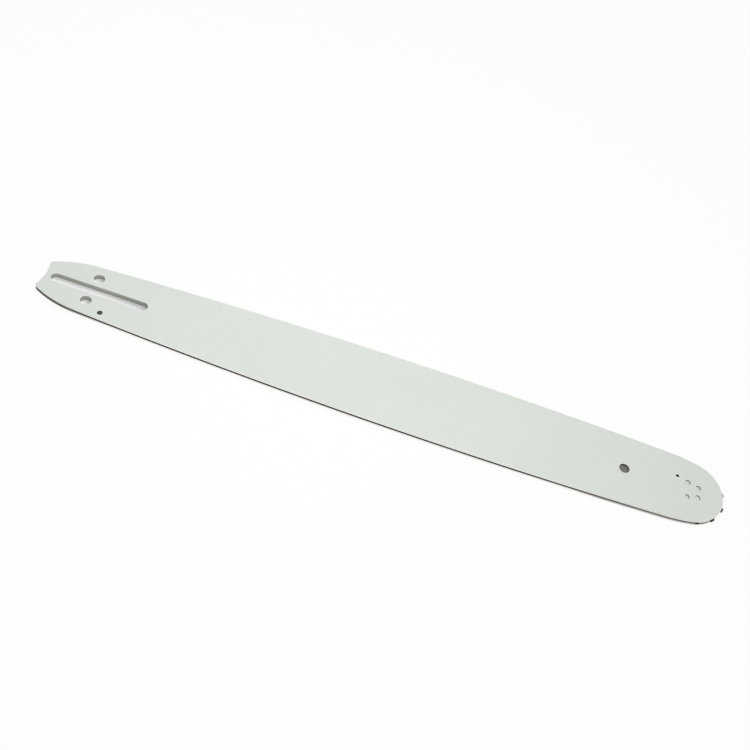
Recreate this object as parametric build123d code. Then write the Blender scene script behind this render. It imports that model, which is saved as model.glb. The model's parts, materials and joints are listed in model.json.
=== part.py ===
from build123d import *

import math
import os

# Laminated chainsaw guide bar with a sprocket nose, lying flat. Lengths are millimetres, angles degrees.
# X runs from the tail to the nose, Z is up, and the origin is under the middle of the bar.

# Chain that the bar is made for
CHAIN_PITCH = 8.255
CHAIN_GAUGE = 1.5
GROOVE_DEPTH = 6.4

# Side plates: three sheets make the bar, two side plates and a core as thick as the chain's gauge
BAR_LENGTH = 530.0
PLATE_THICKNESS = 1.5
EDGE_BREAK = 0.25

# Outline: how far the sides stand out past the nose arc, bow out to the belly, and stand at the tail outside
# the line of the tensioner's holes
NOSE_COVER = 0.1
NOSE_SWELL = 1.5
BELLY_RISE = 4.4
TAIL_RAIL = 8.8
NOSE_SHOULDER_RADIUS = 130.0
TAIL_SHOULDER_RADIUS = 80.0
HORN_SPREAD = 25.6
HORN_ROUND = 2.5
NOTCH_DEPTH = 2.35

# Tail: slot for the bar studs, holes for the chain tensioner's pin and for oil, measured from the tail
SLOT_SETBACK = 6.8
SLOT_LENGTH = 75.5
SLOT_WIDTH = 8.0
ADJUSTER_SETBACK = 39.3
ADJUSTER_SPREAD = 23.5
ADJUSTER_DIAMETER = 8.4
OIL_SETBACK = 53.4
OIL_INSET = 5.6
OIL_DIAMETER = 4.0

# Nose: sprocket, its roller bearing, the rivets through the hub, and two holes in each side plate
SPROCKET_TEETH = 12
SPROCKET_SETBACK = 25.1
SPROCKET_SIDE_CLEARANCE = 0.1
TIP_BELOW_PITCH = 5.15
ROOT_BELOW_PITCH = 12.9
GULLET_RADIUS = 3.6
GULLET_FLARE = 21.0
TIP_BREAK = 0.5
SPROCKET_RIM = 4.6
POCKET_CLEARANCE = 1.5
ROLLER_DIAMETER = 4.0
ROLLER_CLEARANCE = 0.05
ROLLER_SPACING = 0.06
RIVET_DIAMETER = 4.0
RIVET_CLEARANCE = 0.03
RIVET_SINK = 0.45
RIVET_CIRCLE_RADIUS = 7.1
RIVET_ANGLES = (37.5, 110.7)
GREASE_ANGLE = 138.0
GREASE_DIAMETER = 2.6
TIP_HOLE_SETBACK = 76.4
TIP_HOLE_DIAMETER = 8.0

# Levels of the three sheets
CORE_FLOOR = PLATE_THICKNESS
CORE_TOP = CORE_FLOOR + CHAIN_GAUGE
MID_LEVEL = CORE_FLOOR + CHAIN_GAUGE / 2

# Sprocket and bearing, each worked out from the chain's pitch line inwards
TOOTH_PITCH = 360 / SPROCKET_TEETH
PITCH_RADIUS = CHAIN_PITCH / math.sin(math.radians(TOOTH_PITCH / 2))
TIP_RADIUS = PITCH_RADIUS - TIP_BELOW_PITCH
ROOT_RADIUS = PITCH_RADIUS - ROOT_BELOW_PITCH
BORE_RADIUS = ROOT_RADIUS - SPROCKET_RIM
ROLLER_RADIUS = ROLLER_DIAMETER / 2
ROLLER_RING_RADIUS = BORE_RADIUS - ROLLER_RADIUS - ROLLER_CLEARANCE
HUB_RADIUS = ROLLER_RING_RADIUS - ROLLER_RADIUS - ROLLER_CLEARANCE
ROLLER_STEP = 2 * math.degrees(math.asin((ROLLER_RADIUS + ROLLER_SPACING) / ROLLER_RING_RADIUS))
ROLLER_COUNT = int(360 / ROLLER_STEP)

# Outline's stations and arc centres. The side arc falls from the belly by a set amount at each end.
TAIL_X = -BAR_LENGTH / 2
NOSE_X = BAR_LENGTH / 2
NOSE_RADIUS = TIP_RADIUS + NOSE_COVER
HALF_WIDTH = NOSE_RADIUS + NOSE_SWELL + BELLY_RISE
TAIL_TAPER = HALF_WIDTH - ADJUSTER_SPREAD / 2 - TAIL_RAIL
NOSE_CENTRE = Vector(NOSE_X - NOSE_RADIUS, 0)
TAIL_SHARE = math.sqrt(TAIL_TAPER) / (math.sqrt(TAIL_TAPER) + math.sqrt(BELLY_RISE))
BELLY_X = TAIL_X + (NOSE_CENTRE.X - TAIL_X) * TAIL_SHARE
SIDE_RADIUS = ((BELLY_X - TAIL_X) ** 2 + TAIL_TAPER**2) / (2 * TAIL_TAPER)
SIDE_CENTRE = Vector(BELLY_X, HALF_WIDTH - SIDE_RADIUS)
HORN = Vector(TAIL_X, HORN_SPREAD / 2)
NOTCH_RADIUS = (HORN.Y**2 + NOTCH_DEPTH**2) / (2 * NOTCH_DEPTH)
NOTCH_CENTRE = Vector(TAIL_X + NOTCH_DEPTH - NOTCH_RADIUS, 0)
SPROCKET_CENTRE = Vector(NOSE_X - SPROCKET_SETBACK, 0)


def along(vector):
    """A point's X, to choose between two points by how near the nose they lie."""
    return vector.X


def across(vector):
    """A point's Y, to choose between two points by their side of the bar."""
    return vector.Y


def meeting_points(centre_a, reach_a, centre_b, reach_b):
    """Both points that lie reach_a from one centre and reach_b from the other."""
    line = centre_b - centre_a
    foot = (reach_a**2 - reach_b**2 + line.length**2) / (2 * line.length)
    rise = math.sqrt(reach_a**2 - foot**2)
    direction = line.normalized()
    sideways = Vector(-direction.Y, direction.X)
    middle = centre_a + direction * foot
    return middle + sideways * rise, middle - sideways * rise


# Centres of the arcs that blend the side into the nose and into the tail's horn, tangent to the side
NOSE_BLEND_CENTRE = min(
    meeting_points(
        NOSE_CENTRE,
        NOSE_SHOULDER_RADIUS - NOSE_RADIUS,
        SIDE_CENTRE,
        SIDE_RADIUS - NOSE_SHOULDER_RADIUS,
    ),
    key=along,
)
TAIL_BLEND_CENTRE = max(
    meeting_points(HORN, TAIL_SHOULDER_RADIUS, SIDE_CENTRE, SIDE_RADIUS - TAIL_SHOULDER_RADIUS),
    key=along,
)


def arc_about(centre, start, end):
    """The short arc from start to end about a centre."""
    halfway = ((start - centre) + (end - centre)).normalized()
    return ThreePointArc(start, centre + halfway * (start - centre).length, end)


def mirrored(point):
    """The same point on the other edge of the bar."""
    return Vector(point.X, -point.Y)


def bar_outline(inset):
    """The bar's outline as a face, with its long edges moved in by inset and its tail left where it is."""
    horn = max(
        meeting_points(NOTCH_CENTRE, NOTCH_RADIUS, TAIL_BLEND_CENTRE, TAIL_SHOULDER_RADIUS - inset),
        key=across,
    )
    tail_join = SIDE_CENTRE + (TAIL_BLEND_CENTRE - SIDE_CENTRE).normalized() * (SIDE_RADIUS - inset)
    side_join = SIDE_CENTRE + (NOSE_BLEND_CENTRE - SIDE_CENTRE).normalized() * (SIDE_RADIUS - inset)
    nose_join = NOSE_CENTRE + (NOSE_CENTRE - NOSE_BLEND_CENTRE).normalized() * (NOSE_RADIUS - inset)
    far_edge = [
        arc_about(TAIL_BLEND_CENTRE, horn, tail_join),
        arc_about(SIDE_CENTRE, tail_join, side_join),
        arc_about(NOSE_BLEND_CENTRE, side_join, nose_join),
    ]
    near_edge = [mirror(edge, about=Plane.XZ) for edge in far_edge]
    nose_tip = NOSE_CENTRE + Vector(NOSE_RADIUS - inset, 0)
    nose_arc = ThreePointArc(nose_join, nose_tip, mirrored(nose_join))
    notch_floor = NOTCH_CENTRE + Vector(NOTCH_RADIUS, 0)
    notch_arc = ThreePointArc(horn, notch_floor, mirrored(horn))
    return make_face([*far_edge, nose_arc, *near_edge, notch_arc])


def side_half_width(x):
    """Half the bar's width at a station on the side arc."""
    return SIDE_CENTRE.Y + math.sqrt(SIDE_RADIUS**2 - (x - BELLY_X) ** 2)


def round_hole(centre, diameter):
    return Pos(centre.X, centre.Y) * Circle(diameter / 2)


def on_nose_circle(radius, angle):
    """A point at a radius and an angle from the sprocket's axis."""
    return SPROCKET_CENTRE + Vector(radius, 0).rotate(Axis.Z, angle)


def rivet_centres():
    return [on_nose_circle(RIVET_CIRCLE_RADIUS, side * angle) for angle in RIVET_ANGLES for side in (1, -1)]


def through_holes():
    """The slot and holes that go through all three sheets."""
    slot = Pos(TAIL_X + SLOT_SETBACK + SLOT_LENGTH / 2, 0) * SlotOverall(SLOT_LENGTH, SLOT_WIDTH)
    adjuster_x = TAIL_X + ADJUSTER_SETBACK
    adjusters = [
        round_hole(Vector(adjuster_x, side * ADJUSTER_SPREAD / 2), ADJUSTER_DIAMETER) for side in (1, -1)
    ]
    return [slot, *adjusters]


def side_plate():
    """One side plate, outer face up, with its oil hole on the -Y edge and its grease hole on the +Y side.
    Both plates are this same stamping: the bar is the same again when it is turned over about X. The small
    holes are left sharp, and the one behind the nose ends on the core, which has no hole there."""
    outline = bar_outline(inset=0)
    outline = fillet(outline.vertices().sort_by(Axis.X)[:2], HORN_ROUND)
    plate = extrude(outline - through_holes(), PLATE_THICKNESS)
    outer_face = plate.faces().sort_by(Axis.Z)[-1]
    plate = chamfer(outer_face.outer_wire().edges(), EDGE_BREAK)
    oil_x = TAIL_X + OIL_SETBACK
    small_holes = [
        round_hole(Vector(oil_x, OIL_INSET - side_half_width(oil_x)), OIL_DIAMETER),
        round_hole(on_nose_circle(BORE_RADIUS, GREASE_ANGLE), GREASE_DIAMETER),
        round_hole(Vector(NOSE_X - TIP_HOLE_SETBACK, 0), TIP_HOLE_DIAMETER),
        *(round_hole(centre, RIVET_DIAMETER) for centre in rivet_centres()),
    ]
    return plate - extrude(Sketch(small_holes), PLATE_THICKNESS)


def core_plate():
    """The middle sheet: set in by the groove's depth, and cut back to a pocket round the sprocket."""
    pocket = round_hole(SPROCKET_CENTRE, 2 * (TIP_RADIUS + POCKET_CLEARANCE))
    return extrude(bar_outline(inset=GROOVE_DEPTH) - [*through_holes(), pocket], CHAIN_GAUGE)


def gullet():
    """One gap between two teeth, along +X: a round root whose flanks flare out past the tips."""
    root_centre = Vector(ROOT_RADIUS + GULLET_RADIUS, 0)
    flank = Vector(1, 0).rotate(Axis.Z, GULLET_FLARE)
    start = root_centre + Vector(0, GULLET_RADIUS).rotate(Axis.Z, GULLET_FLARE)
    end = start + flank * TIP_RADIUS
    mouth = Polygon(start, end, mirrored(end), mirrored(start), align=None)
    return round_hole(root_centre, 2 * GULLET_RADIUS) + mouth


def nose_sprocket():
    """The star wheel that carries the chain round the nose, with a gap, not a tooth, on the bar's axis."""
    gullets = [Rot(Z=i * TOOTH_PITCH) * gullet() for i in range(SPROCKET_TEETH)]
    star = Circle(TIP_RADIUS) - gullets
    tips = star.vertices().filter_by(lambda v: Vector(v).length > TIP_RADIUS - TIP_BREAK)
    star = chamfer(tips, TIP_BREAK) - Circle(BORE_RADIUS)
    thickness = CHAIN_GAUGE - 2 * SPROCKET_SIDE_CLEARANCE
    return at_nose(extrude(star, thickness / 2, both=True))


def at_nose(piece):
    """A piece modelled about the origin, moved to the sprocket's axis at the bar's mid level."""
    return Pos(SPROCKET_CENTRE.X, SPROCKET_CENTRE.Y, MID_LEVEL) * piece


def nose_hub():
    """The disc that the rollers run on, riveted between the side plates."""
    holes = [round_hole(centre - SPROCKET_CENTRE, RIVET_DIAMETER) for centre in rivet_centres()]
    return at_nose(extrude(Circle(HUB_RADIUS) - holes, CHAIN_GAUGE / 2, both=True))


def nose_rivets():
    """The rivets through both plates and the hub, finished just below the plates' faces."""
    length = 2 * PLATE_THICKNESS + CHAIN_GAUGE - 2 * RIVET_SINK
    rivet = Cylinder(RIVET_DIAMETER / 2 - RIVET_CLEARANCE, length)
    return Compound([Pos(centre.X, centre.Y, MID_LEVEL) * rivet for centre in rivet_centres()])


def nose_roller(index):
    """One loose roller of the full ring between the hub and the sprocket's bore."""
    roller = Cylinder(ROLLER_RADIUS, CHAIN_GAUGE - 2 * ROLLER_CLEARANCE)
    return at_nose(Rot(Z=index * 360 / ROLLER_COUNT) * Pos(ROLLER_RING_RADIUS, 0) * roller)


def build_parts():
    plate = side_plate()
    parts = {
        "side_plate_upper": Pos(0, 0, CORE_TOP) * plate,
        "side_plate_lower": Pos(0, 0, CORE_FLOOR) * Rot(X=180) * plate,
        "core_plate": Pos(0, 0, CORE_FLOOR) * core_plate(),
        "nose_hub": nose_hub(),
        "nose_rivets": nose_rivets(),
        "nose_sprocket": nose_sprocket(),
    }
    for index in range(ROLLER_COUNT):
        parts[f"nose_roller_{index + 1:02d}"] = nose_roller(index)
    return parts


os.makedirs("parts", exist_ok=True)
for name, part in build_parts().items():
    export_step(part, f"parts/{name}.step")
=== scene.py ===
"""Looks of a laminated chainsaw guide bar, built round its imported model."""

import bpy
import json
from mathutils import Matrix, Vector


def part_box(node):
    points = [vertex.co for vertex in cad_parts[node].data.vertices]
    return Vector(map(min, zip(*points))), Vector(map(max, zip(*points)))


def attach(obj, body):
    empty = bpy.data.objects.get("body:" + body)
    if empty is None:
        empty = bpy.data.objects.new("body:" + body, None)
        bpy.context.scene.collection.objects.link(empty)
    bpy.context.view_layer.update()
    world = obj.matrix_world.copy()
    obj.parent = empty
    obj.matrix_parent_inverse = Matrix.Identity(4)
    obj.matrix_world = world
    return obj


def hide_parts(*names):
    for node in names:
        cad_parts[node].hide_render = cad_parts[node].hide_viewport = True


bl_info = {
    "name": "Guide Bar Looks",
    "version": (1, 0, 0),
    "blender": (4, 5, 0),
    "location": "View3D > Sidebar > Guide Bar",
    "description": "Enamelled plates, ground rails, nose sprocket and rivets of a chainsaw guide bar",
    "category": "Object",
}

import cmath
import json
import math

import bmesh
import bpy
from mathutils import Matrix, Vector

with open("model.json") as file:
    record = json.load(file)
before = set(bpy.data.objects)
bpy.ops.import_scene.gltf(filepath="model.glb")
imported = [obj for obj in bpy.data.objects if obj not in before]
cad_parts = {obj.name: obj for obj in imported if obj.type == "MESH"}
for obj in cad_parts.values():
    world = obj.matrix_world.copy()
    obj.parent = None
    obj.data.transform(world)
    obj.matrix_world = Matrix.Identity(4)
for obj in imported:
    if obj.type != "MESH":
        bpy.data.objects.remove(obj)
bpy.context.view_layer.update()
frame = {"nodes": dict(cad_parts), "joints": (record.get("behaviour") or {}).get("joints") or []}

MM = 0.001

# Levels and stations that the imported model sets
LOWER_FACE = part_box("side_plate_lower")[0].z
CORE_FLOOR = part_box("core_plate")[0].z
CORE_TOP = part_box("core_plate")[1].z
UPPER_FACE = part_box("side_plate_upper")[1].z
NOSE_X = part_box("side_plate_upper")[1].x
SPROCKET_SPIN = next(joint for joint in frame["joints"] if joint["name"] == "sprocket_spin")
SPROCKET_AXIS = complex(*SPROCKET_SPIN["pos_m"][:2])
ROLLERS = [node for node in frame["nodes"] if node.startswith("nose_roller")]

# The tail before its horns are rounded, as far behind the origin as the nose is ahead of it
TAIL_X = -NOSE_X

# How far a mesh may stand off its true curve, and the steps in a rounded edge and in a rivet's dimple
FACET_SAG = 0.004 * MM
ROUND_STEPS = 4
DIMPLE_STEPS = 7
SHARP_ANGLE = math.radians(30)

# How near two points are that count as one, and the decimals to which a mesh's points are matched
SAME_PLACE = 0.01 * MM
MATCHED_DECIMALS = 7

# A hole this many times longer than wide is a slot
SLOT_RATIO = 2

# The only finish of a piece that has one, on the lower corner, the wall and the upper corner of its edges
ONLY_FINISH = 0
FINISHED_ALIKE = (ONLY_FINISH, ONLY_FINISH, ONLY_FINISH)

# Wear of an edge, and how far in from a worn edge the enamel is painted brighter, as rubbed wear and a
# painted highlight both
NO_WEAR = 0.0
FULL_WEAR = 1.0
WORN_REACH = 0.4 * MM

# Stretches of the bar where the rails' grinding fades to the tail, and to the nose as a painted shade, and
# where painted light sets in on the plates' inner faces
TAIL_FADE = (TAIL_X + 10 * MM, TAIL_X + 75 * MM)
NOSE_SHADE_FADE = (NOSE_X - 120 * MM, NOSE_X - 90 * MM)
NOSE_PAINTED_LIGHT = (NOSE_X - 150 * MM, NOSE_X - 50 * MM)

# Shares of each plate's grinding that are left at the tail and at the nose; the lower plate's smaller
# shares are a painted shade
UPPER_GRINDING = (0.55, 0.8)
LOWER_GRINDING_AND_SHADE = (0.0, 0.45)

# Layers of a mesh that its materials read
EDGE_UV = "along_edge"
WEAR_LAYER = "edge_wear"

# What sets bare metal apart from a coat in a shader
BARE_METAL = {"Metallic": 1.0}

# Sockets of a colour mix, which share their names with others
MIX_A = 6
MIX_B = 7
MIX_RESULT = 2


def linear(hex_colour):
    """An sRGB hex colour as three linear values."""
    shares = [int(hex_colour[i : i + 2], 16) / 255 for i in (1, 3, 5)]
    return [s / 12.92 if s <= 0.04045 else ((s + 0.055) / 1.055) ** 2.4 for s in shares]


def length(name, millimetres, description):
    """A length property, in metres, whose default is given in millimetres."""
    return bpy.props.FloatProperty(
        name=name, description=description, default=millimetres * MM, min=0.0, unit="LENGTH", precision=5
    )


def angle(name, degrees, description):
    """An angle property, in radians, whose default is given in degrees."""
    return bpy.props.FloatProperty(
        name=name, description=description, default=math.radians(degrees), subtype="ANGLE"
    )


def colour(name, hex_colour, description):
    """A colour property whose default is an sRGB hex value."""
    return bpy.props.FloatVectorProperty(
        name=name, description=description, default=linear(hex_colour), min=0.0, max=1.0, subtype="COLOR"
    )


class GuideBarSizes(bpy.types.PropertyGroup):
    """Sizes of the bar's outline and edges."""

    belly_half_width: length("Belly Half Width", 32.745, "Half the bar's width at its widest")
    belly_rise: length("Belly Rise", 4.4, "How far the sides bow out past their width at the nose")
    tail_half_width: length("Tail Half Width", 20.55, "Half the width that the side arcs reach at the tail")
    nose_radius: length("Nose Radius", 26.845, "Radius of the round nose")
    nose_shoulder_radius: length("Nose Shoulder", 130.0, "Radius of the arc that leads into the nose")
    tail_shoulder_radius: length("Tail Shoulder", 80.0, "Radius of the arc that leads into the tail")
    horn_spread: length("Horn Spread", 25.6, "Distance between the two horns of the tail before rounding")
    horn_round: length("Horn Round", 2.5, "Radius of each horn's corner")
    notch_depth: length("Notch Depth", 2.35, "Depth of the hollow between the horns")
    groove_depth: length("Groove Depth", 6.4, "How far the core is set in from the rails")
    pocket_radius: length("Pocket Radius", 28.245, "Radius of the room for the sprocket in the core")
    edge_round: length("Edge Round", 0.25, "Rounding of a plate's outer edge")
    groove_round: length("Groove Edge", 0.15, "Rounding of a rail's edge at the groove")
    hole_round: length("Hole Round", 0.18, "Rounding of a hole's edge on a plate's outer face")
    burr_round: length("Deburred Edge", 0.05, "Rounding of an edge between two sheets")
    core_round: length("Core Corner", 0.3, "Radius of the core's corner at each horn")


class GuideBarNose(bpy.types.PropertyGroup):
    """Sizes of the sprocket and rivets in the nose."""

    teeth: bpy.props.IntProperty(
        name="Teeth", description="Teeth on the sprocket", default=12, min=6, max=20
    )
    tip_radius: length("Tip Radius", 26.745, "Radius over the sprocket's teeth")
    root_radius: length("Root Radius", 18.995, "Radius to the floor of the gaps between teeth")
    gullet_radius: length("Gullet Radius", 3.6, "Radius of the round floor of each gap")
    gullet_flare: angle("Gullet Flare", 21.0, "Angle by which each side of a gap opens outwards")
    tip_break: length("Tip Break", 0.5, "Chamfer on the corners of each tooth")
    bore_radius: length("Bore Radius", 14.395, "Radius of the sprocket's bore, which runs on the rollers")
    tooth_round: length("Tooth Edge", 0.12, "Rounding of the sprocket's edges")
    countersink: length("Countersink", 0.1, "Rounding of the plates' holes round the rivets")
    dimple_radius: length("Dimple Radius", 1.0, "Radius of the hollow that the punch leaves in a rivet")
    dimple_depth: length("Dimple Depth", 0.5, "Depth of that hollow")
    rivet_round: length("Rivet Edge", 0.75, "Rounding of a rivet's rim")


class GuideBarFinishes(bpy.types.PropertyGroup):
    """Colours of the bar's finishes."""

    enamel: colour("Enamel", "#D8DDD7", "Satin enamel on the plates")
    # Rubbed wear and a painted highlight both: the enamel along the edges is painted brighter than the coat
    worn_and_highlit_enamel: colour("Worn Enamel", "#ECEDE9", "Enamel rubbed thin and bright along an edge")
    rail_steel: colour("Rail Steel", "#F5F4F0", "Ground steel of the rails")
    # This grey is the sheared edge at the tail, and a painted shade where the rails dull at the nose and on
    # the lower plate
    sheared_and_shaded_steel: colour("Sheared Steel", "#7A7873", "Unground edge of the plates round the tail and nose")
    punched_steel: colour("Punched Steel", "#AFB1AA", "Bare walls of the punched slot and holes")
    core_steel: colour("Core Steel", "#6C6A65", "Phosphated steel of the core")
    sheet_steel: colour("Sheet Steel", "#7A7873", "Phosphated inner faces of the plates")
    # Painted light: the plates' inner faces turn to this shade towards the nose, where light reaches into
    # the groove
    nose_painted_light_steel: colour("Rubbed Steel", "#C6C3BC", "Inner faces that the sprocket has rubbed in the nose")
    sprocket_steel: colour("Sprocket Steel", "#33302C", "Heat-treated steel of the sprocket")
    bearing_steel: colour("Bearing Steel", "#C4C3BF", "Ground steel of the hub and rollers")


class GuideBarStage(bpy.types.PropertyGroup):
    """Camera and light."""

    lens: bpy.props.FloatProperty(
        name="Lens", description="Focal length in millimetres", default=48.0, min=1.0
    )
    distance: length("Distance", 743.3, "From the camera to the point it looks at")
    elevation: angle("Elevation", 49.81, "Camera's angle above the floor")
    heading: angle("Heading", -1.02, "Camera's heading away from straight across the bar")
    roll: angle("Roll", 17.81, "Camera's turn about its line of sight")
    target: bpy.props.FloatVectorProperty(
        name="Target",
        description="Point that the camera looks at",
        default=(-7.296 * MM, 8.375 * MM, 4.723 * MM),
        subtype="XYZ",
        unit="LENGTH",
    )
    overhead_power: bpy.props.FloatProperty(
        name="Overhead Softbox",
        description="Power of the lamp over the bar",
        default=1.4,
        min=0.0,
        unit="POWER",
    )
    side_strength: bpy.props.FloatProperty(
        name="Side Light",
        description="Strength of the soft light from behind the nose",
        default=1.12,
        min=0.0,
    )
    fill: bpy.props.FloatProperty(
        name="Fill", description="Strength of the even light from all round", default=0.37, min=0.0
    )


# Plan geometry. A point in plan is a complex number, X + Yj, in metres.


def meeting_points(centre_a, reach_a, centre_b, reach_b):
    """Both points that lie reach_a from one centre and reach_b from the other."""
    gap = abs(centre_b - centre_a)
    along = (centre_b - centre_a) / gap
    foot = (reach_a**2 - reach_b**2 + gap**2) / (2 * gap)
    rise = math.sqrt(reach_a**2 - foot**2)
    return centre_a + along * (foot + 1j * rise), centre_a + along * (foot - 1j * rise)


def towards(start, end, distance):
    """The point at a distance from start, in the direction of end."""
    return start + (end - start) / abs(end - start) * distance


def turned(centre, start, turn):
    """Points from start round a centre by a turn, without the last, close enough to look smooth."""
    span = 2 * math.acos(1 - FACET_SAG / abs(start - centre))
    spans = max(1, math.ceil(abs(turn) / span))
    return [centre + (start - centre) * cmath.exp(1j * turn * i / spans) for i in range(spans)]


def arc(centre, start, end):
    """Points on the short arc from start to end about a centre, without the last."""
    return turned(centre, start, cmath.phase((end - centre) / (start - centre)))


def circle(centre, radius):
    """A closed round loop, anticlockwise."""
    return turned(centre, centre + radius, 2 * math.pi)


def slot(middle, half_run, radius):
    """A closed loop round a slot along X, clockwise."""
    nose_end = middle + half_run
    tail_end = middle - half_run
    return [
        *turned(nose_end, nose_end + 1j * radius, -math.pi),
        nose_end - 1j * radius,
        *turned(tail_end, tail_end - 1j * radius, -math.pi),
        tail_end + 1j * radius,
    ]


def both_edges(far_half):
    """A closed loop from its half on the far edge, which starts and ends on the bar's axis."""
    return [point.conjugate() for point in far_half] + far_half[-2:0:-1]


class BarOutline:
    """Arcs of the bar's far edge, from the tail to the nose, worked out from the driving sizes."""

    def __init__(self, sizes):
        self.sizes = sizes
        taper = sizes.belly_half_width - sizes.tail_half_width
        self.nose_centre = complex(NOSE_X - sizes.nose_radius)
        tail_share = math.sqrt(taper) / (math.sqrt(taper) + math.sqrt(sizes.belly_rise))
        belly_x = TAIL_X + (self.nose_centre.real - TAIL_X) * tail_share
        self.side_radius = ((belly_x - TAIL_X) ** 2 + taper**2) / (2 * taper)
        self.side_centre = complex(belly_x, sizes.belly_half_width - self.side_radius)
        horn = complex(TAIL_X, sizes.horn_spread / 2)
        self.notch_radius = (horn.imag**2 + sizes.notch_depth**2) / (2 * sizes.notch_depth)
        self.notch_centre = complex(TAIL_X + sizes.notch_depth - self.notch_radius)
        nose_shoulder = sizes.nose_shoulder_radius
        nose_blends = meeting_points(
            self.nose_centre,
            nose_shoulder - sizes.nose_radius,
            self.side_centre,
            self.side_radius - nose_shoulder,
        )
        self.nose_blend = min(nose_blends, key=lambda point: point.real)
        tail_shoulder = sizes.tail_shoulder_radius
        tail_blends = meeting_points(
            horn, tail_shoulder, self.side_centre, self.side_radius - tail_shoulder
        )
        self.tail_blend = max(tail_blends, key=lambda point: point.real)

    def side(self, inset, corner_round):
        """Points from the notch's floor along the far edge, and where the nose's shoulder starts."""
        shoulder = self.sizes.tail_shoulder_radius - inset
        side_reach = self.side_radius - inset
        horn_centres = meeting_points(
            self.notch_centre, self.notch_radius + corner_round, self.tail_blend, shoulder - corner_round
        )
        horn_centre = max(horn_centres, key=lambda point: point.imag)
        notch_end = towards(self.notch_centre, horn_centre, self.notch_radius)
        horn_end = towards(self.tail_blend, horn_centre, shoulder)
        tail_join = towards(self.side_centre, self.tail_blend, side_reach)
        side_join = towards(self.side_centre, self.nose_blend, side_reach)
        points = [
            *arc(self.notch_centre, self.notch_centre + self.notch_radius, notch_end),
            *arc(horn_centre, notch_end, horn_end),
            *arc(self.tail_blend, horn_end, tail_join),
            *arc(self.side_centre, tail_join, side_join),
        ]
        return points, side_join

    def plate(self):
        """The outline of a side plate."""
        points, side_join = self.side(0.0, self.sizes.horn_round)
        nose_join = towards(self.nose_blend, self.nose_centre, self.sizes.nose_shoulder_radius)
        nose_tip = self.nose_centre + self.sizes.nose_radius
        points += arc(self.nose_blend, side_join, nose_join)
        points += arc(self.nose_centre, nose_join, nose_tip)
        return both_edges([*points, nose_tip])

    def core(self):
        """The outline of the core, set in by the groove and cut back round the sprocket."""
        inset = self.sizes.groove_depth
        points, side_join = self.side(inset, self.sizes.core_round)
        pocket_joins = meeting_points(
            self.nose_blend,
            self.sizes.nose_shoulder_radius - inset,
            SPROCKET_AXIS,
            self.sizes.pocket_radius,
        )
        pocket_join = max(pocket_joins, key=lambda point: point.imag)
        pocket_floor = SPROCKET_AXIS - self.sizes.pocket_radius
        points += arc(self.nose_blend, side_join, pocket_join)
        points += arc(SPROCKET_AXIS, pocket_join, pocket_floor)
        return both_edges([*points, pocket_floor])


def face_loops(node, level):
    """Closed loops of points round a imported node's flat face at a level: its outline and its holes."""
    mesh = frame["nodes"][node].data
    uses = {}
    for face in mesh.polygons:
        corners = [mesh.vertices[index].co for index in face.vertices]
        if all(abs(corner.z - level) < SAME_PLACE for corner in corners):
            plan = [[round(value, MATCHED_DECIMALS) for value in corner.xy] for corner in corners]
            ends = [complex(*point) for point in plan]
            for start, end in zip(ends, ends[1:] + ends[:1]):
                edge = frozenset((start, end))
                uses[edge] = uses.get(edge, 0) + 1
    neighbours = {}
    for edge, count in uses.items():
        if count == 1:
            start, end = edge
            neighbours.setdefault(start, []).append(end)
            neighbours.setdefault(end, []).append(start)
    loops = []
    while neighbours:
        point = next(iter(neighbours))
        loop = []
        while point in neighbours:
            loop.append(point)
            onward = neighbours.pop(point)
            point = onward[0] if onward[0] in neighbours else onward[1]
        loops.append(loop)
    return loops


def extent(values):
    """How far a set of numbers spreads."""
    values = list(values)
    return max(values) - min(values)


def hole_loops(node, level):
    """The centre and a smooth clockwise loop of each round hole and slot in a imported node's flat face."""
    loops = face_loops(node, level)
    outline = max(loops, key=lambda loop: extent(point.real for point in loop))
    smooth = []
    for loop in loops:
        if loop is outline:
            continue
        centre = sum(loop) / len(loop)
        run = extent(point.real for point in loop)
        width = extent(point.imag for point in loop)
        if run > SLOT_RATIO * width:
            smooth.append((centre, slot(centre, (run - width) / 2, width / 2)))
        else:
            smooth.append((centre, circle(centre, abs(loop[0] - centre))[::-1]))
    return smooth


def edge_profile(low, high, rounds, finishes, wear=NO_WEAR):
    """Steps (inset, level, wear, finish) up a sheet's edge: round its lower corner, up its wall and round
    its upper corner, then in along its upper face to where the wear ends. A step's finish is that of the
    strip before it."""
    low_round, high_round = rounds
    low_finish, wall_finish, high_finish = finishes
    turns = [math.pi / 2 * step / ROUND_STEPS for step in range(ROUND_STEPS + 1)]
    steps = []
    for turn in turns:
        inset = low_round * (1 - math.sin(turn))
        level = low + low_round * (1 - math.cos(turn))
        steps.append((inset, level, wear, low_finish))
    for turn in turns:
        inset = high_round * (1 - math.cos(turn))
        level = high - high_round * (1 - math.sin(turn))
        steps.append((inset, level, wear, high_finish if turn else wall_finish))
    if wear:
        steps.append((high_round + WORN_REACH, high, NO_WEAR, high_finish))
    return steps


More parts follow.
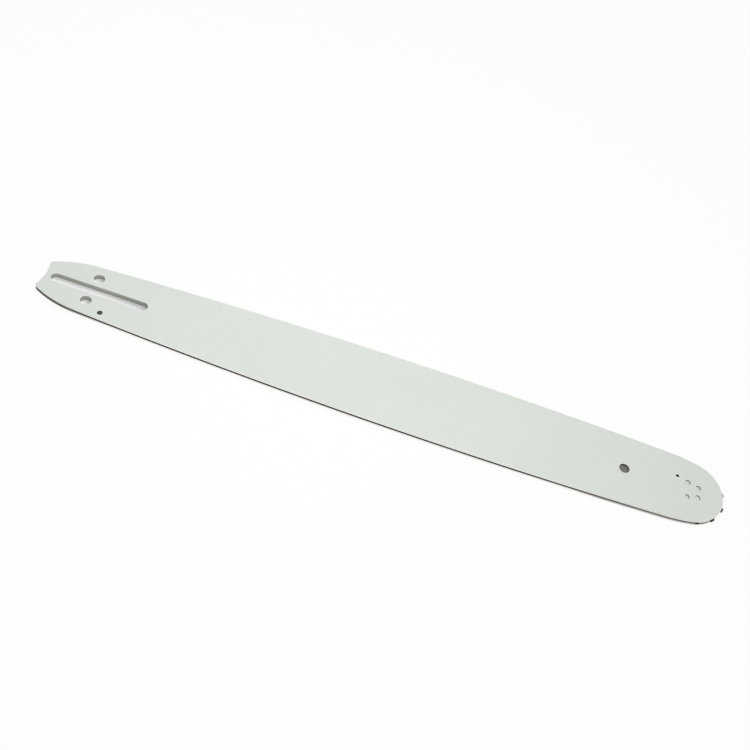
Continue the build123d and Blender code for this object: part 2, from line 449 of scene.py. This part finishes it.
class SheetMesh:
    """A flat piece of metal, built up from the loops of its cut edges and closed by flat faces."""

    def __init__(self):
        self.mesh = bmesh.new()
        self.uv = self.mesh.loops.layers.uv.new(EDGE_UV)
        self.wear = self.mesh.verts.layers.float.new(WEAR_LAYER)
        self.low_rims = []
        self.high_rims = []

    def add_wall(self, loop, profile):
        """Adds a cut edge's wall. Its loop runs anticlockwise round metal and clockwise round a hole."""
        rings = []
        for inset, level, wear, _ in profile:
            ring = []
            for index, point in enumerate(loop):
                step = loop[(index + 1) % len(loop)] - loop[index - 1]
                place = point + 1j * step / abs(step) * inset
                vert = self.mesh.verts.new((place.real, place.imag, level))
                vert[self.wear] = wear
                ring.append(vert)
            rings.append(ring)
        run = [0.0]
        for index, point in enumerate(loop):
            run.append(run[-1] + abs(loop[(index + 1) % len(loop)] - point))
        climb = 0.0
        for lower, upper, below, above in zip(rings, rings[1:], profile, profile[1:]):
            top = climb + math.hypot(above[0] - below[0], above[1] - below[1])
            for index in range(len(loop)):
                start, end = run[index : index + 2]
                after = (index + 1) % len(loop)
                face = self.mesh.faces.new((lower[index], lower[after], upper[after], upper[index]))
                face.material_index = above[-1]
                face.smooth = True
                places = ((start, climb), (end, climb), (end, top), (start, top))
                for corner, place in zip(face.loops, places):
                    corner[self.uv].uv = place
            climb = top
        self.low_rims.append(rings[0])
        self.high_rims.append(rings[-1])

    def close(self, rims, up, finish):
        """Fills the flat face inside the outer rim and outside the holes' rims."""
        edges = []
        for rim in rims:
            edges += [self.mesh.edges.get((vert, rim[index - 1])) for index, vert in enumerate(rim)]
        filled = bmesh.ops.triangle_fill(self.mesh, use_beauty=True, use_dissolve=False, edges=edges)
        for face in filled["geom"]:
            if isinstance(face, bmesh.types.BMFace):
                face.material_index = finish
                face.smooth = False
                face.normal_update()
                if (face.normal.z > 0) != up:
                    face.normal_flip()
                for corner in face.loops:
                    corner[self.uv].uv = corner.vert.co.xy

    def close_both(self, low_finish, high_finish):
        """Fills the lower and upper flat faces."""
        self.close(self.low_rims, False, low_finish)
        self.close(self.high_rims, True, high_finish)
        self.low_rims = []
        self.high_rims = []

    def finished(self, name, materials):
        """The piece as an object with its materials, sharp where its faces meet at a clear angle."""
        self.mesh.normal_update()
        for edge in self.mesh.edges:
            edge.smooth = edge.calc_face_angle(0.0) < SHARP_ANGLE
        data = bpy.data.meshes.new(name)
        self.mesh.to_mesh(data)
        self.mesh.free()
        for material in materials:
            data.materials.append(material)
        piece = bpy.data.objects.new(name, data)
        bpy.context.scene.collection.objects.link(piece)
        return piece


# Materials


def add_node(tree, kind, settings, inputs):
    """Adds a node with its settings. Each input is a value, or another node's output to link."""
    node = tree.nodes.new(kind)
    for name, value in settings.items():
        setattr(node, name, value)
    for name, value in inputs.items():
        if isinstance(value, bpy.types.NodeSocket):
            tree.links.new(value, node.inputs[name])
        else:
            node.inputs[name].default_value = value
    return node


def cells(millimetres):
    """Pattern scale, in cells a metre, for a feature of a real size."""
    return 1 / (millimetres * MM)


def rgba(shade, share=1.0):
    """A colour with alpha, made lighter or darker by a share."""
    return (*(channel * share for channel in shade), 1.0)


def new_material(name):
    """A node material with no nodes yet, made afresh when an operator runs again."""
    material = bpy.data.materials.get(name) or bpy.data.materials.new(name)
    material.use_nodes = True
    material.node_tree.nodes.clear()
    return material


def along_bar(tree):
    """An output that gives the distance along the bar, in metres from its middle."""
    place = add_node(tree, "ShaderNodeTexCoord", {}, {}).outputs["Object"]
    return add_node(tree, "ShaderNodeSeparateXYZ", {}, {"Vector": place}).outputs["X"]


def edge_cells(tree, along, up):
    """Places on a cut edge, counted in features so many millimetres long along the edge and up it."""
    run = add_node(tree, "ShaderNodeUVMap", {"uv_map": EDGE_UV}, {}).outputs["UV"]
    scale = (cells(along), cells(up), 1.0)
    return add_node(tree, "ShaderNodeMapping", {}, {"Vector": run, "Scale": scale}).outputs["Vector"]


def drifting_shade(tree, place, scale, detail, shade, shares):
    """A noise pattern, and a shade that drifts with it from a darker to a lighter share."""
    noise = add_node(tree, "ShaderNodeTexNoise", {}, {"Vector": place, "Scale": scale, "Detail": detail})
    pattern = noise.outputs["Fac"]
    darkest, lightest = (rgba(shade, share) for share in shares)
    tone = add_node(
        tree, "ShaderNodeMix", {"data_type": "RGBA"}, {"Factor": pattern, MIX_A: darkest, MIX_B: lightest}
    )
    return pattern, tone.outputs[MIX_RESULT]


def add_surface(tree, shade, roughness, relief, settings):
    """Ends a material in a shader of a shade. Roughness is a pattern with its least and most, and relief is
    a pattern with its strength and its height."""
    gloss, smoothest, roughest = roughness
    grain, strength, height = relief
    rough = add_node(
        tree, "ShaderNodeMapRange", {}, {"Value": gloss, "To Min": smoothest, "To Max": roughest}
    )
    bump = add_node(
        tree, "ShaderNodeBump", {}, {"Height": grain, "Strength": strength, "Distance": height}
    )
    shader = add_node(
        tree,
        "ShaderNodeBsdfPrincipled",
        {},
        {
            "Base Color": shade,
            "Roughness": rough.outputs["Result"],
            "Normal": bump.outputs["Normal"],
            **settings,
        },
    )
    add_node(tree, "ShaderNodeOutputMaterial", {}, {"Surface": shader.outputs["BSDF"]})


def satin_enamel(finishes):
    """Sprayed satin enamel over steel: an even pale grey coat with a soft sheen, a faint orange peel, slow
    changes of tone where the coat is thicker, and a broken, brighter line along an edge, which is rubbed
    wear and a painted highlight both."""
    material = new_material("Satin_Grey_Enamel")
    tree = material.node_tree
    place = add_node(tree, "ShaderNodeTexCoord", {}, {}).outputs["Object"]
    _, coat = drifting_shade(
        tree, place, scale=cells(60), detail=2.0, shade=finishes.enamel, shares=(0.97, 1.03)
    )
    mottle = add_node(tree, "ShaderNodeTexNoise", {}, {"Vector": place, "Scale": cells(6), "Detail": 4.0})
    drift = add_node(
        tree, "ShaderNodeMapRange", {}, {"Value": mottle.outputs["Fac"], "To Min": 0.96, "To Max": 1.04}
    )
    mottled = add_node(
        tree,
        "ShaderNodeMix",
        {"data_type": "RGBA", "blend_type": "MULTIPLY"},
        {"Factor": 1.0, MIX_A: coat, MIX_B: drift.outputs["Result"]},
    )
    wear = add_node(tree, "ShaderNodeAttribute", {"attribute_name": WEAR_LAYER}, {}).outputs["Fac"]
    ragged = add_node(tree, "ShaderNodeTexNoise", {}, {"Vector": place, "Scale": cells(2.5), "Detail": 3.0})
    patches = add_node(
        tree, "ShaderNodeMapRange", {}, {"Value": ragged.outputs["Fac"], "To Min": 0.6, "To Max": 1.3}
    )
    thin = add_node(
        tree,
        "ShaderNodeMath",
        {"operation": "MULTIPLY", "use_clamp": True},
        {0: wear, 1: patches.outputs["Result"]},
    )
    # The brighter line along the edges is rubbed wear and a painted highlight both
    shade = add_node(
        tree,
        "ShaderNodeMix",
        {"data_type": "RGBA"},
        {"Factor": thin.outputs[0], MIX_A: mottled.outputs[MIX_RESULT], MIX_B: rgba(finishes.worn_and_highlit_enamel)},
    )
    peel = add_node(tree, "ShaderNodeTexNoise", {}, {"Vector": place, "Scale": cells(1.4), "Detail": 1.0})
    add_surface(
        tree,
        shade.outputs[MIX_RESULT],
        roughness=(mottle.outputs["Fac"], 0.58, 0.74),
        relief=(peel.outputs["Fac"], 0.25, 0.05 * MM),
        settings={"IOR": 1.5},
    )
    return material


def ground_rail_steel(name, finishes, grinding):
    """Rail steel ground along its length: bright bare metal with fine lengthwise lines, which gives way to
    a dull grey towards the tail and the nose, but for a share. That grey is the sheared edge at the tail,
    and a painted shade at the nose and along the lower plate's rail. The lines are drawn coarser than real
    grit, to show."""
    material = new_material(name)
    tree = material.node_tree
    tail_share, nose_share = grinding
    lines, bright = drifting_shade(
        tree,
        edge_cells(tree, along=14, up=0.12),
        scale=1.0,
        detail=3.0,
        shade=finishes.rail_steel,
        shares=(0.9, 1.05),
    )
    along = along_bar(tree)
    from_tail = add_node(
        tree,
        "ShaderNodeMapRange",
        {},
        {"Value": along, "From Min": TAIL_FADE[0], "From Max": TAIL_FADE[1], "To Min": tail_share},
    )
    ground = add_node(
        tree,
        "ShaderNodeMapRange",
        {},
        {
            "Value": along,
            "From Min": NOSE_SHADE_FADE[0],
            "From Max": NOSE_SHADE_FADE[1],
            "To Min": from_tail.outputs["Result"],
            "To Max": nose_share,
        },
    )
    tone = add_node(
        tree,
        "ShaderNodeMix",
        {"data_type": "RGBA"},
        {"Factor": ground.outputs["Result"], MIX_A: rgba(finishes.sheared_and_shaded_steel), MIX_B: bright},
    )
    add_surface(
        tree,
        tone.outputs[MIX_RESULT],
        roughness=(lines, 0.2, 0.38),
        relief=(lines, 0.25, 0.02 * MM),
        settings=BARE_METAL,
    )
    return material


def punched_steel(finishes):
    """Steel left bare by the punch: mid grey and half bright, with upright scores down a hole's wall."""
    material = new_material("Punched_Bare_Steel")
    tree = material.node_tree
    scores, tone = drifting_shade(
        tree,
        edge_cells(tree, along=0.5, up=3),
        scale=1.0,
        detail=3.0,
        shade=finishes.punched_steel,
        shares=(0.85, 1.15),
    )
    add_surface(
        tree, tone, roughness=(scores, 0.1, 0.26), relief=(scores, 0.2, 0.02 * MM), settings=BARE_METAL
    )
    return material


def phosphated_sheet(name, shade, painted_light_shade):
    """Phosphated sheet steel: a dull dark grey with a fine crystal mottle, which may be painted lighter
    towards the nose as painted light in the groove."""
    material = new_material(name)
    tree = material.node_tree
    place = add_node(tree, "ShaderNodeTexCoord", {}, {}).outputs["Object"]
    crystals, tone = drifting_shade(
        tree, place, scale=cells(0.8), detail=4.0, shade=shade, shares=(0.7, 1.3)
    )
    # Painted light: the inner faces lighten along this stretch towards the nose
    rubbed = add_node(
        tree,
        "ShaderNodeMapRange",
        {},
        {"Value": along_bar(tree), "From Min": NOSE_PAINTED_LIGHT[0], "From Max": NOSE_PAINTED_LIGHT[1]},
    )
    lit_towards_nose = add_node(
        tree,
        "ShaderNodeMix",
        {"data_type": "RGBA"},
        {"Factor": rubbed.outputs["Result"], MIX_A: tone, MIX_B: rgba(painted_light_shade)},
    )
    add_surface(
        tree,
        lit_towards_nose.outputs[MIX_RESULT],
        roughness=(crystals, 0.6, 0.85),
        relief=(crystals, 0.3, 0.03 * MM),
        settings={},
    )
    return material


def core_sheet(finishes):
    """Phosphated steel with no painted light: the same dull dark grey all over."""
    return phosphated_sheet("Phosphated_Core_Steel", finishes.core_steel, finishes.core_steel)


def mottled_steel(name, shade, patch, roughness):
    """Bare steel whose colour and gloss drift over patches of a size in millimetres, as made by heat or
    honing."""
    material = new_material(name)
    tree = material.node_tree
    place = add_node(tree, "ShaderNodeTexCoord", {}, {}).outputs["Object"]
    patches, tone = drifting_shade(
        tree, place, scale=cells(patch), detail=5.0, shade=shade, shares=(0.75, 1.2)
    )
    add_surface(
        tree,
        tone,
        roughness=(patches, *roughness),
        relief=(patches, 0.2, 0.05 * MM),
        settings=BARE_METAL,
    )
    return material


def hardened_sprocket_steel(finishes):
    """Hardened, blackened steel: brown-black and half dull, with paler drifts where the scale is thin."""
    return mottled_steel(
        "Hardened_Black_Steel", finishes.sprocket_steel, patch=3.0, roughness=(0.35, 0.55)
    )


def ground_bearing_steel(finishes):
    """Ground and honed bearing steel: pale and fairly bright, with little drift of tone."""
    return mottled_steel(
        "Ground_Bearing_Steel", finishes.bearing_steel, patch=4.0, roughness=(0.18, 0.3)
    )


# Pieces


def set_on(piece, body, finish_slot, *nodes):
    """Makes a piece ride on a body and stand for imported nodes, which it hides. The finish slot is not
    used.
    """
    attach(piece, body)
    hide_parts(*nodes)


def rivet_rims():
    """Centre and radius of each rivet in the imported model."""
    rims = []
    for loop in face_loops("nose_rivets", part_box("nose_rivets")[1].z):
        centre = sum(loop) / len(loop)
        rims.append((centre, abs(loop[0] - centre)))
    return rims


class GUIDEBAR_OT_side_plates(bpy.types.Operator):
    """Build both enamelled side plates with their ground rails"""

    bl_idname = "guide_bar.side_plates"
    bl_label = "Side Plates"

    def execute(self, context):
        sizes = context.scene.guide_bar_sizes
        countersink = context.scene.guide_bar_nose.countersink
        finishes = context.scene.guide_bar_finishes
        materials = [
            satin_enamel(finishes),
            ground_rail_steel("Ground_Rail_Steel_Upper", finishes, UPPER_GRINDING),
            phosphated_sheet("Phosphated_Plate_Steel", finishes.sheet_steel, finishes.nose_painted_light_steel),
            punched_steel(finishes),
            core_sheet(finishes),
        ]
        enamel, rail, sheet, punched, dark = range(len(materials))
        plate = SheetMesh()
        rounds = (sizes.groove_round, sizes.edge_round)
        profile = edge_profile(CORE_TOP, UPPER_FACE, rounds, (sheet, rail, enamel), FULL_WEAR)
        plate.add_wall(BarOutline(sizes).plate(), profile)
        at_hole = edge_profile(
            CORE_TOP, UPPER_FACE, (sizes.burr_round, sizes.hole_round), (sheet, punched, enamel), FULL_WEAR
        )
        # The rivets' hole walls take the dark core steel: a painted shade that deepens the crescent round
        # each rivet
        at_rivet = edge_profile(
            CORE_TOP, UPPER_FACE, (sizes.burr_round, countersink), (sheet, dark, punched)
        )
        rivets = [centre for centre, _ in rivet_rims()]
        for centre, hole in hole_loops("side_plate_upper", CORE_TOP):
            riveted = any(abs(centre - rivet) < SAME_PLACE for rivet in rivets)
            plate.add_wall(hole, at_rivet if riveted else at_hole)
        plate.close_both(sheet, enamel)
        upper = plate.finished("side_plate_upper_enamelled", materials)
        lower = bpy.data.objects.new("side_plate_lower_enamelled", upper.data.copy())
        half_turn = Matrix.Rotation(math.pi, 4, "X")
        lower.data.transform(Matrix.Translation((0.0, 0.0, LOWER_FACE + UPPER_FACE)) @ half_turn)
        # The lower plate's rail keeps less of its grinding: a painted shade for the shadowed floor that
        # this rail reflects
        lower.data.materials[rail] = ground_rail_steel("Ground_Rail_Steel_Lower_Painted_Shade", finishes, LOWER_GRINDING_AND_SHADE)
        context.scene.collection.objects.link(lower)
        set_on(upper, "bar", "plate_paint", "side_plate_upper")
        set_on(lower, "bar", "plate_paint", "side_plate_lower")
        return {"FINISHED"}


class GUIDEBAR_OT_core_plate(bpy.types.Operator):
    """Build the core sheet between the side plates"""

    bl_idname = "guide_bar.core_plate"
    bl_label = "Core Plate"

    def execute(self, context):
        sizes = context.scene.guide_bar_sizes
        finishes = context.scene.guide_bar_finishes
        materials = [core_sheet(finishes), punched_steel(finishes)]
        sheet, punched = range(len(materials))
        rounds = (sizes.burr_round, sizes.burr_round)
        core = SheetMesh()
        outside = edge_profile(CORE_FLOOR, CORE_TOP, rounds, (sheet, sheet, sheet))
        core.add_wall(BarOutline(sizes).core(), outside)
        inside = edge_profile(CORE_FLOOR, CORE_TOP, rounds, (sheet, punched, sheet))
        for _, hole in hole_loops("core_plate", CORE_TOP):
            core.add_wall(hole, inside)
        core.close_both(sheet, sheet)
        piece = core.finished("core_plate_phosphated", materials)
        set_on(piece, "bar", "core_steel", "core_plate")
        return {"FINISHED"}


class GUIDEBAR_OT_nose_rivets(bpy.types.Operator):
    """Build the nose's rivets with the dimples that the punch leaves"""

    bl_idname = "guide_bar.nose_rivets"
    bl_label = "Nose Rivets"

    def execute(self, context):
        nose = context.scene.guide_bar_nose
        finishes = context.scene.guide_bar_finishes
        low, high = (corner.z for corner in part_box("nose_rivets"))
        rounds = (nose.rivet_round, nose.rivet_round)
        rivets = SheetMesh()
        for centre, radius in rivet_rims():
            dimple = []
            for step in range(DIMPLE_STEPS):
                share = 1 - step / DIMPLE_STEPS
                dimple.append((radius - nose.dimple_radius * share, nose.dimple_depth * (1 - share**2)))
            lower = [(inset, low + sink, NO_WEAR, ONLY_FINISH) for inset, sink in reversed(dimple)]
            upper = [(inset, high - sink, NO_WEAR, ONLY_FINISH) for inset, sink in dimple]
            wall = edge_profile(low, high, rounds, FINISHED_ALIKE)
            rivets.add_wall(circle(centre, radius), lower + wall + upper)
            rivets.close_both(ONLY_FINISH, ONLY_FINISH)
        piece = rivets.finished("nose_rivets_dished", [satin_enamel(finishes)])
        set_on(piece, "bar", "rivet_steel", "nose_rivets")
        return {"FINISHED"}


class GUIDEBAR_OT_nose_sprocket(bpy.types.Operator):
    """Build the nose sprocket with rounded tooth edges"""

    bl_idname = "guide_bar.nose_sprocket"
    bl_label = "Nose Sprocket"

    def execute(self, context):
        nose = context.scene.guide_bar_nose
        finishes = context.scene.guide_bar_finishes
        low, high = (corner.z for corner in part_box("nose_sprocket"))
        profile = edge_profile(low, high, (nose.tooth_round, nose.tooth_round), FINISHED_ALIKE)
        sprocket = SheetMesh()
        sprocket.add_wall([SPROCKET_AXIS + point for point in self.star(nose)], profile)
        sprocket.add_wall(circle(SPROCKET_AXIS, nose.bore_radius)[::-1], profile)
        sprocket.close_both(ONLY_FINISH, ONLY_FINISH)
        piece = sprocket.finished("nose_sprocket_hardened", [hardened_sprocket_steel(finishes)])
        set_on(piece, "sprocket", "sprocket_steel", "nose_sprocket")
        return {"FINISHED"}

    def star(self, nose):
        """The toothed outline about its own axis, anticlockwise, starting at a gap on +X."""
        root_centre = complex(nose.root_radius + nose.gullet_radius)
        flank = cmath.exp(1j * nose.gullet_flare)
        start = root_centre + 1j * flank * nose.gullet_radius
        along = (start * flank.conjugate()).real
        corner = start + flank * (math.sqrt(along**2 + nose.tip_radius**2 - abs(start) ** 2) - along)
        flank_end = corner - flank * nose.tip_break
        tip_start = corner * cmath.exp(1j * nose.tip_break / nose.tip_radius)
        step = cmath.exp(2j * math.pi / nose.teeth)
        gap = [
            tip_start.conjugate(),
            flank_end.conjugate(),
            *turned(root_centre, start.conjugate(), 2 * nose.gullet_flare - math.pi),
            start,
            flank_end,
            *arc(0j, tip_start, tip_start.conjugate() * step),
        ]
        return [point * step**tooth for tooth in range(nose.teeth) for point in gap]


class GUIDEBAR_OT_nose_bearing(bpy.types.Operator):
    """Finish the hub and rollers of the nose"""

    bl_idname = "guide_bar.nose_bearing"
    bl_label = "Nose Bearing"

    def execute(self, context):
        steel = ground_bearing_steel(context.scene.guide_bar_finishes)
        for node in ("nose_hub", *ROLLERS):
            data = frame["nodes"][node].data
            data.materials.clear()
            data.materials.append(steel)
        return {"FINISHED"}


# Stage

# The floor's length and width, and how far the floor and the card lie under the bar, so that no faces meet
FLOOR_REACH = 6.0
FLOOR_GAP = 0.06 * MM
CARD_GAP = 0.03 * MM

# The softbox over the bar, and the soft light from behind the nose
OVERHEAD_PLACE = (-0.05, 0.0, 0.54)
OVERHEAD_SIZE = 0.4
SIDE_HEADING = math.radians(44)
SIDE_ELEVATION = math.radians(44)
SIDE_SOFTNESS = math.radians(22)

# Whites of the stage, the share of the floor's white that glows, and the stretch where the card is painted
# grey as shade
FULL_WHITE = rgba(linear("#FFFFFF"))
MATTE_WHITE = rgba(linear("#F7F7F7"))
CARD_WHITE = rgba(linear("#FAFAFA"))
CARD_PAINTED_SHADE = rgba(linear("#E2E2E2"))
WHITE_SHARE = 0.92
CARD_SHADE_FADE = (TAIL_X + 45 * MM, TAIL_X + 85 * MM)


def seen_directly(tree):
    """An output that is 1 for what the eye, a mirror or clear glass shows, and 0 for scattered light."""
    path = add_node(tree, "ShaderNodeLightPath", {}, {})
    seen = path.outputs["Is Camera Ray"]
    for ray in ("Is Glossy Ray", "Is Transmission Ray"):
        both = add_node(tree, "ShaderNodeMath", {"operation": "MAXIMUM"}, {0: seen, 1: path.outputs[ray]})
        seen = both.outputs[0]
    return seen


def painted_shade_card():
    """Matte white card under the bar: plain paper, with a painted shade that greys it under the nose end of
    the slot.
    """
    material = new_material("Matte_White_Card_Painted_Shade")
    tree = material.node_tree
    # Painted shade: the card turns from white to grey along this stretch, under the nose end of the slot
    card_painted_shade = add_node(
        tree,
        "ShaderNodeMapRange",
        {},
        {"Value": along_bar(tree), "From Min": CARD_SHADE_FADE[0], "From Max": CARD_SHADE_FADE[1]},
    )
    tone = add_node(
        tree,
        "ShaderNodeMix",
        {"data_type": "RGBA"},
        {"Factor": card_painted_shade.outputs["Result"], MIX_A: CARD_WHITE, MIX_B: CARD_PAINTED_SHADE},
    )
    paper = add_node(tree, "ShaderNodeBsdfDiffuse", {}, {"Color": tone.outputs[MIX_RESULT]})
    add_node(tree, "ShaderNodeOutputMaterial", {}, {"Surface": paper.outputs["BSDF"]})
    return material


def white_sweep():
    """Matte white paper sweep: evenly white to the eye by a share of glow, and shaded for the rest."""
    material = new_material("Matte_White_Paper")
    tree = material.node_tree
    glowing = add_node(
        tree, "ShaderNodeMath", {"operation": "MULTIPLY"}, {0: seen_directly(tree), 1: WHITE_SHARE}
    )
    matte = add_node(tree, "ShaderNodeBsdfDiffuse", {}, {"Color": MATTE_WHITE})
    glow = add_node(tree, "ShaderNodeEmission", {}, {"Color": FULL_WHITE, "Strength": 1.0})
    mixed = add_node(
        tree,
        "ShaderNodeMixShader",
        {},
        {"Fac": glowing.outputs[0], 1: matte.outputs["BSDF"], 2: glow.outputs["Emission"]},
    )
    add_node(tree, "ShaderNodeOutputMaterial", {}, {"Surface": mixed.outputs["Shader"]})
    return material


def studio_world(fill):
    """Even white surround: full white to the eye and in reflections, and a softer fill for matte faces."""
    world = bpy.data.worlds.new("White_Studio")
    world.use_nodes = True
    tree = world.node_tree
    tree.nodes.clear()
    strength = add_node(
        tree, "ShaderNodeMapRange", {}, {"Value": seen_directly(tree), "To Min": fill, "To Max": 1.0}
    )
    light = add_node(
        tree, "ShaderNodeBackground", {}, {"Color": FULL_WHITE, "Strength": strength.outputs["Result"]}
    )
    add_node(tree, "ShaderNodeOutputWorld", {}, {"Surface": light.outputs["Background"]})
    return world


def add_lamp(name, kind, place, target, settings):
    """Adds a lamp that points from a place at a target."""
    data = bpy.data.lights.new(name, kind)
    for key, value in settings.items():
        setattr(data, key, value)
    lamp = bpy.data.objects.new(name, data)
    lamp.location = place
    lamp.rotation_euler = (Vector(target) - Vector(place)).to_track_quat("-Z", "Y").to_euler()
    bpy.context.scene.collection.objects.link(lamp)


def add_ground(name, outline, level, material):
    """Adds a flat piece of the stage from its outline in plan."""
    data = bpy.data.meshes.new(name)
    data.from_pydata([(point.real, point.imag, level) for point in outline], [], [range(len(outline))])
    data.materials.append(material)
    ground = bpy.data.objects.new(name, data)
    bpy.context.scene.collection.objects.link(ground)


class GUIDEBAR_OT_stage(bpy.types.Operator):
    """Build the floor, the light and the camera"""

    bl_idname = "guide_bar.stage"
    bl_label = "Stage"

    def execute(self, context):
        stage = context.scene.guide_bar_stage
        corner = FLOOR_REACH / 2 * (1 + 1j)
        floor = [-corner, corner.conjugate(), corner, -corner.conjugate()]
        add_ground("white_floor", floor, -FLOOR_GAP, white_sweep())
        card = BarOutline(context.scene.guide_bar_sizes).core()
        add_ground("white_card", card, -CARD_GAP, painted_shade_card())
        context.scene.world = studio_world(stage.fill)
        add_lamp(
            "Overhead_Softbox",
            "AREA",
            OVERHEAD_PLACE,
            (*OVERHEAD_PLACE[:2], 0.0),
            {"energy": stage.overhead_power, "shape": "SQUARE", "size": OVERHEAD_SIZE},
        )
        heading = cmath.exp(1j * SIDE_HEADING) * math.cos(SIDE_ELEVATION)
        add_lamp(
            "Side_Softlight",
            "SUN",
            (heading.real, heading.imag, math.sin(SIDE_ELEVATION)),
            (0.0, 0.0, 0.0),
            {"energy": stage.side_strength, "angle": SIDE_SOFTNESS},
        )
        self.add_camera(context, stage)
        context.scene.view_settings.view_transform = "Standard"
        return {"FINISHED"}

    def add_camera(self, context, stage):
        """The camera, from its angles about the point that it looks at."""
        level = math.cos(stage.elevation)
        forward = Vector(
            (math.sin(stage.heading) * level, math.cos(stage.heading) * level, -math.sin(stage.elevation))
        )
        right = Vector((math.cos(stage.heading), -math.sin(stage.heading), 0.0))
        up = right.cross(forward)
        image_right = right * math.cos(stage.roll) + up * math.sin(stage.roll)
        image_up = up * math.cos(stage.roll) - right * math.sin(stage.roll)
        data = bpy.data.cameras.new("Photo_Camera")
        data.lens = stage.lens
        camera = bpy.data.objects.new("Photo_Camera", data)
        turn = Matrix((image_right, image_up, -forward)).transposed().to_4x4()
        place = Vector(stage.target) - forward * stage.distance
        camera.matrix_world = Matrix.Translation(place) @ turn
        context.scene.collection.objects.link(camera)
        context.scene.camera = camera


class GUIDEBAR_PT_panel(bpy.types.Panel):
    """Lists the bar's pieces and their settings"""

    bl_idname = "GUIDEBAR_PT_panel"
    bl_label = "Guide Bar"
    bl_space_type = "VIEW_3D"
    bl_region_type = "UI"
    bl_category = "Guide Bar"

    def draw(self, context):
        for operator in OPERATORS:
            self.layout.operator(operator.bl_idname)
        for name in SETTINGS:
            group = getattr(context.scene, name)
            for setting in group.__annotations__:
                self.layout.prop(group, setting)


OPERATORS = (
    GUIDEBAR_OT_side_plates,
    GUIDEBAR_OT_core_plate,
    GUIDEBAR_OT_nose_rivets,
    GUIDEBAR_OT_nose_sprocket,
    GUIDEBAR_OT_nose_bearing,
    GUIDEBAR_OT_stage,
)
SETTINGS = {
    "guide_bar_sizes": GuideBarSizes,
    "guide_bar_nose": GuideBarNose,
    "guide_bar_finishes": GuideBarFinishes,
    "guide_bar_stage": GuideBarStage,
}


def register():
    """Registers the classes and hangs the settings on the scene."""
    for group in (*SETTINGS.values(), *OPERATORS, GUIDEBAR_PT_panel):
        bpy.utils.register_class(group)
    for name, group in SETTINGS.items():
        setattr(bpy.types.Scene, name, bpy.props.PointerProperty(type=group))


def unregister():
    """Takes the settings off the scene and unregisters the classes."""
    for name in SETTINGS:
        delattr(bpy.types.Scene, name)
    for group in (GUIDEBAR_PT_panel, *OPERATORS, *SETTINGS.values()):
        bpy.utils.unregister_class(group)


def main():
    """Builds every piece and the stage."""
    register()
    bpy.ops.guide_bar.side_plates()
    bpy.ops.guide_bar.core_plate()
    bpy.ops.guide_bar.nose_rivets()
    bpy.ops.guide_bar.nose_sprocket()
    bpy.ops.guide_bar.nose_bearing()
    bpy.ops.guide_bar.stage()


if __name__ == "__main__":
    main()
